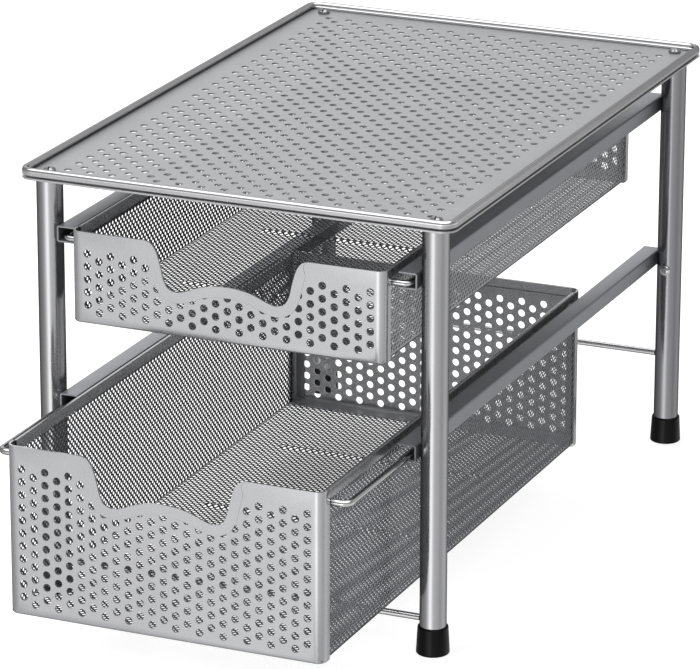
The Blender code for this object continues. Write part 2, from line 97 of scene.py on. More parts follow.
# The baskets' ends: their round holes, bends, grip strip, folds and flanges
PLATE_HOLE_RADIUS = 0.00245
PLATE_HOLE_STEP_X = 0.0075
PLATE_HOLE_STEP_Z = 0.00788
PLATE_HOLE_FIRST = (0.0116, 0.0075)
PLATE_HOLE_SHIFTS = {"upper": 0.0009, "lower": 0.0}
PLATE_HOLE_TOP_MARGIN = 0.0100
PLATE_HOLE_SIDES = 18
PLATE_HOLE_OUTER_COLUMNS = 6
PLATE_THICKNESS = 0.0012
PLATE_CORNER_RADIUS = 0.0055
PLATE_FOOT_RADIUS = 0.0012
PLATE_FOOT_STEPS = 3
HEM_WIDTH = 0.0065
HEM_RISE = 0.0002
HEM_FULL_DEPTH = 0.008
HEM_THICKNESS_SHARE = 0.96
FOLD_HEIGHT = 0.0052
FOLD_THICKNESS = 0.0008
FOLD_GROOVE = 0.0007
BEAD_HEIGHT = 0.0014
CORNER_FILLET = 0.0022
FLANGE_REACH = 0.0105
FLANGE_THICKNESS = 0.0006
RETURN_WIDTH = 0.0075
RETURN_TOP_GAP = 0.003
FINE_EDGE_RADIUS = 0.0001
RETURN_EDGE_RADIUS = 0.0002

# Wavy grip: shares of its half width and depth, from its middle outwards
GRIP_HALF_WIDTH = 0.052
GRIP_DEPTH = 0.0293
GRIP_SHAPE_SHARES = [
    (0.0, 0.75),
    (0.17, 0.77),
    (0.34, 0.84),
    (0.48, 0.94),
    (0.60, 1.0),
    (0.71, 0.94),
    (0.77, 0.77),
    (0.81, 0.48),
    (0.86, 0.20),
    (0.92, 0.05),
    (1.0, 0.0),
]
GRIP_STEPS = 5

# Expanded mesh: half the spacing of its openings, and half an opening's diagonal
MESH_HALF_STEP = 0.00215
MESH_HALF_OPENINGS = {
    "floor": 0.00148,
    "upper_left": 0.00136,
    "lower_left": 0.00130,
    "upper_right": 0.00176,
    "lower_right": 0.00158,
}
MESH_BORDER = 0.0003
MESH_THICKNESS = 0.0003
MESH_LEANS = {
    "floor": 0.0,
    "upper_left": 0.00018,
    "lower_left": 0.00018,
    "upper_right": -0.00018,
    "lower_right": -0.00024,
}

# Ridges pressed into the baskets' floors
RIDGE_PLACES = (0.0885, 0.2025, 0.3165)
RIDGE_HALF_LENGTH = 0.068
RIDGE_HALF_WIDTH = 0.0040
RIDGE_HEIGHT = 0.0011

# Bends and soft edges
RAIL_BEND_RADIUS = 0.0013
RAIL_WALL = 0.0009
RAIL_REACH = 0.0024
RAIL_EDGE = 0.0002
BAND_WALL = 0.0005
BAND_BENDS = (0.0001, 0.0001, 0.0002, 0.0002, 0.0001, 0.0001, 0.0004, 0.0004)
BAND_BEND_STEPS = 4
RUNNER_BEND = 0.005
EDGE_RADIUS = 0.00015
ARC_STEPS = 8
BEND_STEPS = 5
TUBE_SIDES = 64
WIRE_RESOLUTION = 8

# Floor: its colour, and what is added to it where the camera sees it
FLOOR_HALF = 12
FLOOR_DROP = 0.0001
FLOOR_COLOUR = 0.45
FLOOR_SHOWN = 0.84

# The studio round the object. Metal sees soft panels with darker gaps between them: near and under the
# horizon (degrees from the front towards the right, strength), above that one in front and two at the back,
# left and right, and one overhead. STARTS are the elevations in degrees where a panel begins and where it is
# full, and DEPTHS are the same along an axis, as parts of 1.
WORLD_LIGHT = 0.50
LOW_PANELS = [
    (-180, 0.40),
    (-135, 0.22),
    (-100, 0.26),
    (-70, 0.38),
    (-45, 0.55),
    (-33, 0.75),
    (-19, 1.3),
    (-10, 2.1),
    (5, 2.3),
    (17, 0.95),
    (55, 0.85),
    (78, 0.62),
    (92, 0.62),
    (120, 0.95),
    (140, 0.86),
    (160, 0.56),
    (180, 0.40),
]
MIDDLE_PANEL = 0.28
BACK_PANELS = (1.08, 0.45)
TOP_PANEL = 2.0
UNDER_PANEL = 0.5
UNDER_STARTS = (-28, -42)
MIDDLE_STARTS = (-6, 6)
TOP_STARTS = (36, 50)
BACK_TOP_STARTS = (52, 66)
UNDER_DEPTHS = (0, 0.5)
BACK_DEPTHS = (0.4, 0.7)
BACK_LEFT_DEPTHS = (-0.31, -0.16)
BACK_TOP_DEPTHS = (-0.1, 0.1)

# Lamps: place, target, size and power
LAMPS = {
    "key": ((-1.7, -1.5, 1.5), (0, 0, 0.12), (1.0, 1.0), 45),
    "top": ((-0.6, -0.1, 1.7), (-0.6, -0.1, 0), (0.8, 2.6), 24),
}

# Finishes: spots to the metre and shares of the changes in shade and gloss, the grain's depth, and what is
# the same in every noise
CLOUD_SCALE = 35
CLOUD_SHARE = 0.6
GLOSS_SCALE = 150
GLOSS_SHARE = 0.5
GRAIN_DEPTH = 0.0002
NOISE_DETAIL = 3.0
NOISE_RANGE = (0.3, 0.7)
EVEN = (1, 1, 1)
DRAWN_TUBE = {"tint": 0.4, "uneven": 0.03, "bump": 0.03, "grain": 500, "along": (1, 1, 0.08)}

BODY_OF_TIER = {"upper": "upper_basket", "lower": "lower_basket"}
SIDES = {"left": -1, "right": 1}
LEGS = ("front_left", "front_right", "rear_left", "rear_right")


# Pieces


def add_piece(name, data, material, body, slot, *nodes):
    """Puts a mesh or curve in the scene, with its finish and its body, and hides the nodes it stands for."""
    data.materials.append(material)
    piece = bpy.data.objects.new(name, data)
    bpy.context.scene.collection.objects.link(piece)
    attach(piece, body)
    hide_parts(*nodes)
    return piece


def mesh_from(name, bm):
    mesh = bpy.data.meshes.new(name)
    bm.to_mesh(mesh)
    bm.free()
    return mesh


def shade(mesh, sharp_angle=SHARP_ANGLE):
    mesh.shade_smooth()
    mesh.set_sharp_from_angle(angle=sharp_angle)
    return mesh


def soften(piece, radius=EDGE_RADIUS):
    """Rounds the piece's sharp edges."""
    bevel = piece.modifiers.new("Soft edges", "BEVEL")
    bevel.width = radius
    bevel.segments = 2
    bevel.limit_method = "ANGLE"
    bevel.angle_limit = BLUNT_ANGLE
    bevel.harden_normals = True


def thicken(piece, thickness):
    """Gives a sheet its thickness, on the side that its faces look away from."""
    solidify = piece.modifiers.new("Thickness", "SOLIDIFY")
    solidify.thickness = thickness
    solidify.offset = -1
    settle(piece)


def settle(piece):
    """Makes the modifiers' result the piece's own mesh, and shades it smooth up to an angle."""
    bpy.context.view_layer.update()
    evaluated = piece.evaluated_get(bpy.context.evaluated_depsgraph_get())
    mesh = bpy.data.meshes.new_from_object(evaluated)
    piece.modifiers.clear()
    piece.data = mesh
    shade(mesh)


def arc(centre, radius, start, end, steps=ARC_STEPS):
    """Points round an arc, both ends with it."""
    angles = [start + (end - start) * step / steps for step in range(steps + 1)]
    return [(centre[0] + radius * cos(angle), centre[1] + radius * sin(angle)) for angle in angles]


def rounded(points, radius, closed=True, steps=ARC_STEPS):
    """An outline's points with each corner rounded, by one radius or by a list with one for each corner."""
    radii = radius if isinstance(radius, (list, tuple)) else [radius] * len(points)
    line = []
    count = len(points)
    for i, (place, bend) in enumerate(zip(points, radii)):
        at_end = not closed and i in (0, count - 1)
        if bend == 0 or at_end:
            line.append(tuple(place))
            continue
        here = Vector(place)
        back = (Vector(points[i - 1]) - here).normalized()
        ahead = (Vector(points[(i + 1) % count]) - here).normalized()
        half = back.angle(ahead) / 2
        reach = bend / max(abs(sin(half) / cos(half)), LEAST_SLOPE)
        start = here + back * reach
        end = here + ahead * reach
        centre = here + (back + ahead).normalized() * (bend / sin(half))
        first = start - centre
        last = end - centre
        turn = first.angle_signed(last)
        begin = atan2(first.y, first.x)
        line += arc(centre, bend, begin, begin - turn, steps)
    return line


def lathe(profile, centre, steps=TUBE_SIDES):
    """A mesh turned about the upright axis through centre, from (radius, height) points."""
    bm = bmesh.new()
    rings = []
    for radius, height in profile:
        if radius == 0:
            rings.append([bm.verts.new((centre[0], centre[1], height))] * steps)
            continue
        spots = [2 * pi * step / steps for step in range(steps)]
        rings.append(
            [bm.verts.new((centre[0] + radius * cos(a), centre[1] + radius * sin(a), height)) for a in spots]
        )
    for upper, lower in zip(rings, rings[1:]):
        for i in range(steps):
            j = (i + 1) % steps
            corners = list(dict.fromkeys((upper[i], lower[i], lower[j], upper[j])))
            if len(corners) > 2:
                bm.faces.new(corners)
    bmesh.ops.recalc_face_normals(bm, faces=bm.faces)
    return shade(mesh_from("turned", bm))


def extruded(outline, start, end, to_world):
    """A mesh of a closed outline, run from start to end. to_world turns (across, up, along) to a place."""
    bm = bmesh.new()
    rings = [[bm.verts.new(to_world(x, z, along)) for x, z in outline] for along in (start, end)]
    bm.faces.new(rings[0])
    bm.faces.new(reversed(rings[1]))
    count = len(outline)
    for i in range(count):
        j = (i + 1) % count
        bm.faces.new((rings[0][j], rings[0][i], rings[1][i], rings[1][j]))
    bmesh.ops.recalc_face_normals(bm, faces=bm.faces)
    return shade(mesh_from("extruded", bm))


def wire_curve(points, diameter, closed=False):
    curve = bpy.data.curves.new("wire", "CURVE")
    curve.dimensions = "3D"
    curve.bevel_depth = diameter / 2
    curve.bevel_resolution = WIRE_RESOLUTION
    curve.use_fill_caps = not closed
    spline = curve.splines.new("POLY")
    spline.points.add(len(points) - 1)
    for point, place in zip(spline.points, points):
        point.co = (*place, 1)
    spline.use_cyclic_u = closed
    spline.use_smooth = True
    return curve


def filled(outline, holes):
    """A flat mesh in XY of an outline with holes in it, one face deep, facing +Z."""
    points = []
    edges = []
    loops = []
    for index, line in enumerate([outline, *holes]):
        start = len(points)
        count = len(line)
        points += [Vector(place) for place in line]
        loops += [index] * count
        edges += [(start + i, start + (i + 1) % count) for i in range(count)]
    places, _, faces, origins, _, _ = delaunay_2d_cdt(points, edges, [], 1, SAME_PLACE)
    loop_of = [loops[origin[0]] if origin else 0 for origin in origins]
    bm = bmesh.new()
    verts = [bm.verts.new((place.x, place.y, 0)) for place in places]
    for face in faces:
        around = {loop_of[i] for i in face}
        in_hole = len(around) == 1 and 0 not in around
        if not in_hole:
            bm.faces.new([verts[i] for i in face])
    bm.normal_update()
    for face in bm.faces:
        if face.normal.z < 0:
            face.normal_flip()
    return bm


def circle(centre, radius, sides):
    return [
        (centre[0] + radius * cos(2 * pi * i / sides), centre[1] + radius * sin(2 * pi * i / sides))
        for i in range(sides)
    ]


# The frame


def box_centre(node):
    low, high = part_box(node)
    return (low + high) / 2


def build_tray():
    """The perforated sheet, the wires along its edge, and the lip and strip under them."""
    low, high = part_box("top_panel")
    middle = (low + high) / 2
    sheet_top = high.z
    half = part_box("edge_band")[1] - box_centre("edge_band") - Vector((TRAY_SHEET_INSET, TRAY_SHEET_INSET, 0))
    outline = rectangle(half.x, half.y, TRAY_CORNER_RADIUS - TRAY_SHEET_INSET)
    holes = [circle((x, y), TRAY_HOLE_RADIUS, TRAY_HOLE_SIDES) for x, y in tray_hole_places()]
    for leg in LEGS:
        spot = box_centre("tray_screw_" + leg) - middle
        holes.append(circle(spot, TRAY_SCREW_HOLE_RADIUS, TRAY_HOLE_SIDES))
    bm = filled(outline, holes)
    bmesh.ops.translate(bm, vec=(middle.x, middle.y, high.z), verts=bm.verts)
    mesh = shade(mesh_from("tray_sheet", bm))
    sheet = add_piece("tray_sheet", mesh, silver_paint, "frame", "sheet_metal", "top_panel")
    thicken(sheet, high.z - low.z)

    low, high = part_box("rim_wire")
    radius = (high.z - low.z + TRAY_WIRE_FATTER) / 2
    middle = (low + high) / 2
    half = (high - low) / 2 - Vector((radius, radius, 0))
    around = rectangle(half.x, half.y, TRAY_WIRE_BEND)
    line = [(x + middle.x, y + middle.y, high.z - radius) for x, y in around]
    curve = wire_curve(line, 2 * radius, closed=True)
    add_piece("tray_rim", curve, chrome, "frame", "bright_metal", "rim_wire")
    bead = TRAY_BEAD / 2
    rise = high.z - radius - (sheet_top + bead)
    inset = radius + (radius**2 - rise**2) ** 0.5 + bead
    half = (high - low) / 2 - Vector((inset, inset, 0))
    for name, end in (("front", -1), ("rear", 1)):
        line = [(middle.x + side * half.x, middle.y + end * half.y, sheet_top + bead) for side in (-1, 1)]
        add_piece("tray_bead_" + name, wire_curve(line, TRAY_BEAD), chrome, "frame", "bright_metal")

    low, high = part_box("edge_band")
    half = (high - low) / 2
    middle = (low + high) / 2
    outer = rectangle(half.x, half.y, TRAY_CORNER_RADIUS)
    inner = rectangle(half.x - TRAY_STRIP_WIDTH, half.y - TRAY_STRIP_WIDTH, TRAY_STRIP_CORNER)
    lip_inner = rectangle(half.x - TRAY_LIP, half.y - TRAY_LIP, TRAY_CORNER_RADIUS - TRAY_LIP)
    crease_top = sheet_top - SEAM
    rings = (
        ("tray_band", outer, inner, low.z, crease_top - TRAY_CREASE, ["edge_band"]),
        ("tray_lip", outer, lip_inner, crease_top, sheet_top + TRAY_LIP_TOP, []),
    )
    for name, outside, inside, bottom, top, nodes in rings:
        ring = filled(outside, [inside])
        bmesh.ops.translate(ring, vec=(middle.x, middle.y, top), verts=ring.verts)
        piece = add_piece(name, shade(mesh_from(name, ring)), silver_plate, "frame", "sheet_metal", *nodes)
        thicken(piece, top - bottom)
        soften(piece)


def rectangle(half_x, half_y, radius):
    """The outline of a rectangle round the origin, with round corners."""
    return rounded([(-half_x, -half_y), (half_x, -half_y), (half_x, half_y), (-half_x, half_y)], radius)


def tray_hole_places():
    """The holes' places from the tray's middle."""
    step_x, step_y = TRAY_HOLE_STEP
    shift_x, shift_y = TRAY_HOLES_SHIFT
    return [
        (
            shift_x + (column - (TRAY_HOLE_COLUMNS - 1) / 2) * step_x,
            shift_y + (row - (TRAY_HOLE_ROWS - 1) / 2) * step_y,
        )
        for column in range(TRAY_HOLE_COLUMNS)
        for row in range(TRAY_HOLE_ROWS)
        if (column + row) % 2 == 0
    ]


def build_legs():
    for leg in LEGS:
        node = "leg_" + leg
        low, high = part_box(node)
        centre = box_centre(node)
        radius = (high.x - low.x) / 2
        bore = radius - TUBE_WALL
        profile = [
            (bore, high.z),
            (radius - TUBE_EDGE, high.z),
            (radius, high.z - TUBE_EDGE),
            (radius, low.z),
            (bore, low.z),
            (bore, high.z),
        ]
        # The rear legs get a darker copy of the tube steel: painted shade.
        steel = tube_steel if "front" in leg else shaded_rear_tube_steel
        add_piece("tube_" + leg, lathe(profile, centre), steel, "frame", "tube_metal", node)
        build_foot(leg, centre, radius)


def build_foot(leg, centre, tube_radius):
    """A black cap with a rolled lip, a slight taper, and a rounded tread."""
    low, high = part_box("foot_cap_" + leg)
    foot = (high.x - low.x) / 2
    height = high.z - low.z
    inside = tube_radius + GAP
    outline = [
        (0.0, CAP_FLOOR),
        (inside, CAP_FLOOR),
        (inside, height),
        (CAP_LIP_RADIUS, height),
        (foot, 0.0),
        (foot - CAP_TREAD_WIDTH, 0.0),
        (foot - CAP_TREAD_WIDTH - CAP_TREAD_SLOPE, CAP_HOLLOW),
        (0.0, CAP_HOLLOW),
    ]
    profile = rounded(outline, CAP_BENDS, closed=False, steps=BEND_STEPS)
    mesh = lathe([(radius, z + low.z) for radius, z in profile], centre)
    add_piece("foot_" + leg, mesh, black_rubber, "frame", "black_rubber", "foot_cap_" + leg)


def build_plugs():
    for leg in LEGS:
        bpy.data.objects["leg_plug_" + leg].material_slots[0].material = screw_steel


def stand_up(bm):
    """Turns what is drawn in (x, height) upright, so that its upper side looks along -Y."""
    bmesh.ops.transform(bm, matrix=Matrix.Rotation(pi / 2, 4, "X"), verts=bm.verts)


def slotted_head(name, node, head_height, cuts, material, faces_front=False):
    """A low domed head on its shank. Each cut across it is a turn, a length in head radii, and a width."""
    low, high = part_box(node)
    size = high - low
    radius = size.x / 2
    foot = head_height - (size.y if faces_front else size.z)
    outline = [
        (0.0, head_height),
        *[(radius * out, head_height * up) for out, up in HEAD_DOME],
        (radius, 0.0),
        (SHANK_RADIUS, 0.0),
        (SHANK_RADIUS, foot),
        (0.0, foot),
    ]
    bends = [0, *[radius * bend for bend in HEAD_DOME_BENDS], *HEAD_EDGE_BENDS, 0]
    mesh = lathe(rounded(outline, bends, closed=False, steps=BEND_STEPS), (0, 0), HEAD_SIDES)
    if faces_front:
        place = Vector(((low.x + high.x) / 2, low.y + head_height, (low.z + high.z) / 2))
    else:
        place = Vector(((low.x + high.x) / 2, (low.y + high.y) / 2, high.z - head_height))
    bm = bmesh.new()
    bm.from_mesh(mesh)
    set_in_place(bm, place, faces_front)
    bm.to_mesh(mesh)
    bm.free()
    piece = add_piece(name, mesh, material, "frame", "screw_metal", node)
    for turn, reach, width in cuts:
        bm = bmesh.new()
        bmesh.ops.create_cube(bm, size=1)
        bmesh.ops.scale(bm, vec=(radius * reach, width, head_height), verts=bm.verts)
        bmesh.ops.translate(bm, vec=(0, 0, head_height), verts=bm.verts)
        bmesh.ops.transform(bm, matrix=Matrix.Rotation(turn, 4, "Z"), verts=bm.verts)
        set_in_place(bm, place, faces_front)
        apply_cut(piece, mesh_from("slot", bm))


def set_in_place(bm, place, faces_front):
    """Moves a shape to its place. One that faces the front is stood up first."""
    if faces_front:
        stand_up(bm)
    bmesh.ops.translate(bm, vec=place, verts=bm.verts)


def apply_cut(piece, cutter_mesh):
    """Takes the cutter's shape out of the piece's mesh for good."""
    cutter = bpy.data.objects.new("cutter", cutter_mesh)
    bpy.context.scene.collection.objects.link(cutter)
    boolean = piece.modifiers.new("Cut", "BOOLEAN")
    boolean.operation = "DIFFERENCE"
    boolean.solver = "EXACT"
    boolean.object = cutter
    settle(piece)
    bpy.data.objects.remove(cutter)


def build_fasteners():
    """The screws, whose slots run right across their heads, and the bolts, which have a short cross."""
    for leg in LEGS:
        slot = (SCREW_SLOT_TURNS[leg], *SCREW_SLOT)
        slotted_head("screw_" + leg, "tray_screw_" + leg, SCREW_HEAD_HEIGHT, [slot], screw_steel)
    for side in SIDES:
        cross = [(BOLT_SLOT_TURN + quarter * pi / 2, *BOLT_SLOT) for quarter in (0, 1)]
        slotted_head("bolt_" + side, "leg_bolt_rear_" + side, BOLT_HEAD_HEIGHT, cross, bolt_steel, True)


def build_rails():
    for tier in BODY_OF_TIER:
        for side, sign in SIDES.items():
            node = f"{tier}_rail_{side}"
            low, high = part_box(node)
            outer = high.x if sign > 0 else low.x
            tip = (low.x if sign > 0 else high.x) - sign * RAIL_REACH
            inner = outer - sign * RAIL_WALL
            outline = [
                (tip, low.z),
                (outer, low.z),
                (outer, high.z),
                (tip, high.z),
                (tip, high.z - RAIL_WALL),
                (inner, high.z - RAIL_WALL),
                (inner, low.z + RAIL_WALL),
                (tip, low.z + RAIL_WALL),
            ]
            bend = RAIL_BEND_RADIUS
            inside = bend - RAIL_WALL
            radii = [RAIL_EDGE, bend, bend, RAIL_EDGE, RAIL_EDGE, inside, inside, RAIL_EDGE]
            line = rounded(outline, radii, steps=BEND_STEPS)
            mesh = extruded(line, low.y, high.y, lambda x, z, y: (x, y, z))
            add_piece(f"{tier}_channel_{side}", mesh, rail_steel, "frame", "rail_metal", node)


def build_rods():
    for node in ("front_cross_rod", "rear_cross_rod"):
        low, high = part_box(node)
        middle = (low + high) / 2
        points = [(low.x, middle.y, middle.z), (0, middle.y, middle.z), (high.x, middle.y, middle.z)]
        curve = wire_curve(points, high.z - low.z)
        add_piece(node.replace("cross_rod", "tie_wire"), curve, chrome, "frame", "bright_metal", node)


# The baskets


def smooth_line(points, steps):
    """The points with more between them, each on a smooth curve through its four nearest points."""
    line = []
    for i in range(len(points) - 1):
        before = Vector(points[max(i - 1, 0)])
        start = Vector(points[i])
        end = Vector(points[i + 1])
        after = Vector(points[min(i + 2, len(points) - 1)])
        for step in range(steps):
            t = step / steps
            place = 0.5 * (
                2 * start
                + (end - before) * t
                + (2 * before - 5 * start + 4 * end - after) * t**2
                + (3 * start - before - 3 * end + after) * t**3
            )
            line.append(tuple(place))
    return line + [tuple(points[-1])]


def grip_line(top):
    """The grip's wavy edge from its left shoulder to its right one, in a plate whose top is this high."""
    half = [(x * GRIP_HALF_WIDTH, top - z * GRIP_DEPTH) for x, z in GRIP_SHAPE_SHARES]
    wave = [(-x, z) for x, z in reversed(half[1:])] + half
    return smooth_line(wave, GRIP_STEPS)


def hem_line(edge, top):
    """The line that follows the grip's edge under it. It leaves the plate's top with the edge."""
    moved = []
    for i, place in enumerate(edge):
        back = Vector(edge[max(i - 1, 0)])
        ahead = Vector(edge[min(i + 1, len(edge) - 1)])
        along = (ahead - back).normalized()
        share = min((top - place[1]) / HEM_FULL_DEPTH, 1)
        distance = HEM_WIDTH * share * (2 - share)
        moved.append((place[0] + along.y * distance, place[1] - along.x * distance))
    return moved


def distance_to_line(place, line):
    """How far a place is from the line, above zero where it is under it."""
    spot = Vector(place)
    best = None
    for start, end in zip(line, line[1:]):
        a = Vector(start)
        run = Vector(end) - a
        share = min(max((spot - a).dot(run) / run.length_squared, 0), 1)
        away = spot - (a + run * share)
        if best is None or away.length < abs(best):
            below = run.x * away.y - run.y * away.x < 0
            best = away.length if below else -away.length
    return best


def plate_holes(top, shift, edge=None):
    """The circles of a plate's holes. Those that reach over the edge line are cut along it."""
    holes = []
    columns = int(GRIP_HALF_WIDTH / PLATE_HOLE_STEP_X) + PLATE_HOLE_OUTER_COLUMNS
    for column in range(-columns, columns + 1):
        height = PLATE_HOLE_FIRST[column % 2]
        while height < top - PLATE_HOLE_TOP_MARGIN:
            centre = (shift + column * PLATE_HOLE_STEP_X, height)
            height += PLATE_HOLE_STEP_Z
            line = circle(centre, PLATE_HOLE_RADIUS, PLATE_HOLE_SIDES)
            if edge and abs(centre[0]) < GRIP_HALF_WIDTH + HEM_WIDTH + PLATE_HOLE_RADIUS:
                line = clipped(line, edge)
            if line:
                holes.append(line)
    return holes


def clipped(line, edge):
    """The part of a closed outline that is under the edge line, or None if too little is left."""
    depths = [distance_to_line(place, edge) for place in line]
    if min(depths) > EDGE_RADIUS:
        return line
    if max(depths) < 4 * EDGE_RADIUS:
        return None
    kept = []
    for i, (place, depth) in enumerate(zip(line, depths)):
        following = line[(i + 1) % len(line)]
        next_depth = depths[(i + 1) % len(line)]
        if depth > EDGE_RADIUS:
            kept.append(place)
        if (depth > EDGE_RADIUS) != (next_depth > EDGE_RADIUS):
            share = (depth - EDGE_RADIUS) / (depth - next_depth)
            kept.append(tuple(Vector(place).lerp(Vector(following), share)))
    return kept


def end_plate(tier, end):
    """A basket's perforated end: its flat face, wrapped onto the sides and folded in under the floor."""
    node = f"{tier}_{end}_plate"
    low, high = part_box(node)
    size = high - low
    front = end == "front"
    rise = HEM_RISE if front else 0
    bm = bmesh.new()
    bmesh.ops.create_cube(bm, size=1)
    bmesh.ops.scale(bm, vec=(size.x, size.y - rise, size.z), verts=bm.verts)
    bmesh.ops.translate(bm, vec=(0, (size.y + rise) / 2, size.z / 2), verts=bm.verts)
    middle = (size.y + rise) / 2
    upright = [e for e in bm.edges if e.verts[0].co.xy == e.verts[1].co.xy and e.verts[0].co.y < middle]
    bend_edges(bm, upright, PLATE_CORNER_RADIUS, ARC_STEPS)
    at_foot = [e for e in bm.edges if all(v.co.z < size.z / 4 for v in e.verts)]
    foot = [e for e in at_foot if not all(v.co.y > size.y * NEARLY for v in e.verts)]
    bend_edges(bm, foot, PLATE_FOOT_RADIUS, PLATE_FOOT_STEPS)
    # The box is open on top and behind, and its flat front makes way for the one with holes.
    open_faces = [f for f in bm.faces if f.normal.z > NEARLY or f.normal.y > NEARLY]
    flat = [f for f in bm.faces if f.normal.y < -ALMOST_WHOLLY]
    bmesh.ops.delete(bm, geom=open_faces + flat, context="FACES_ONLY")

    half = size.x / 2 - PLATE_CORNER_RADIUS
    top = size.z
    if front:
        edge = grip_line(top)
        hem = hem_line(edge, top)
        top_line = [(half, top), *edge[::-1], (-half, top)]
        holes = plate_holes(top, PLATE_HOLE_SHIFTS[tier], hem)
    else:
        top_line = [(half, top), (-half, top)]
        holes = plate_holes(top, 0)
    face = filled([(-half, PLATE_FOOT_RADIUS), (half, PLATE_FOOT_RADIUS), *top_line], holes)
    set_in_place(face, (0, rise, 0), True)
    face_mesh = mesh_from("face", face)
    bm.from_mesh(face_mesh)
    bpy.data.meshes.remove(face_mesh)
    bmesh.ops.remove_doubles(bm, verts=bm.verts, dist=EDGE_RADIUS / 10)
    bmesh.ops.recalc_face_normals(bm, faces=bm.faces)
    if front:
        bmesh.ops.translate(bm, vec=(0, low.y, low.z), verts=bm.verts)
    else:
        bmesh.ops.transform(bm, matrix=Matrix.Rotation(pi, 4, "Z"), verts=bm.verts)
        bmesh.ops.translate(bm, vec=(0, high.y, low.z), verts=bm.verts)
    mesh = shade(mesh_from(node, bm), BLUNT_ANGLE)
    piece = add_piece(f"{tier}_{end}_sheet", mesh, plate_steel, BODY_OF_TIER[tier], "plate_metal", node)
    thicken(piece, PLATE_THICKNESS)
    if front:
        build_hem(tier, edge, hem, low)
    else:
        build_fold(tier, low, high)


def bend_edges(bm, edges, radius, steps):
    bmesh.ops.bevel(bm, geom=edges, offset=radius, segments=steps, profile=0.5, affect="EDGES")


def build_hem(tier, edge, hem, low):
    """The raised strip round the grip."""
    thickness = HEM_RISE * HEM_THICKNESS_SHARE
    upright_strip(f"{tier}_grip_hem", edge + hem[::-1], (0, low.y, low.z), thickness, plate_steel, tier)


def upright_strip(name, outline, place, thickness, material, tier, edge_radius=FINE_EDGE_RADIUS):
    """A flat strip on a basket's end, from its outline in (x, height)."""
    bm = filled(outline, [])
    set_in_place(bm, place, True)
    piece = add_piece(name, shade(mesh_from(name, bm)), material, BODY_OF_TIER[tier], "plate_metal")
    thicken(piece, thickness)
    soften(piece, edge_radius)


def build_fold(tier, low, high):
    """Inside a basket's back: the top edge folded down, a bead pressed under it, and the flanges on the floor
    and on both sides."""
    half = (high.x - low.x) / 2 - PLATE_CORNER_RADIUS
    middle = (low.x + high.x) / 2
    inner_face = high.y - PLATE_THICKNESS
    groove = high.z - FOLD_HEIGHT
    bead_top = groove - FOLD_GROOVE
    strips = (("fold", groove, high.z - SEAM), ("bead", bead_top - BEAD_HEIGHT, bead_top))
    for name, bottom, top in strips:
        outline = [(-half, bottom), (half, bottom), (half, top), (-half, top)]
        place = (middle, inner_face - FOLD_THICKNESS, 0)
        upright_strip(f"{tier}_back_{name}", outline, place, FOLD_THICKNESS, plate_steel, tier)
    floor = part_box(tier + "_floor_mesh")[1].z
    top = floor + FLANGE_THICKNESS
    curve = arc((inner_face - CORNER_FILLET, top + CORNER_FILLET), CORNER_FILLET, -pi / 2, 0)
    tip = inner_face - FLANGE_REACH
    outline = [(inner_face, floor), (tip, floor), (tip, top), *curve]
    ends = (low.x + PLATE_THICKNESS, high.x - PLATE_THICKNESS)
    mesh = extruded(outline, *ends, lambda y, z, x: (x, y, z))
    # The flange gets a less metallic copy of the plate steel, which lifts it out of its shade: painted light.
    add_piece(f"{tier}_back_foot", mesh, lit_flange_steel, BODY_OF_TIER[tier], "plate_metal")
    bottom = top + CORNER_FILLET
    top = groove - RETURN_TOP_GAP
    outline = [(0, bottom), (RETURN_WIDTH, bottom), (RETURN_WIDTH, top), (0, top)]
    for side, left_edge in zip(SIDES, (ends[0], ends[1] - RETURN_WIDTH)):
        place = (left_edge, inner_face - FOLD_THICKNESS, 0)
        name = f"{tier}_back_return_{side}"
        # The returns get a darker, duller copy of the plate steel: painted shade in the back's corners.
        upright_strip(name, outline, place, FOLD_THICKNESS, shaded_return_steel, tier, RETURN_EDGE_RADIUS)


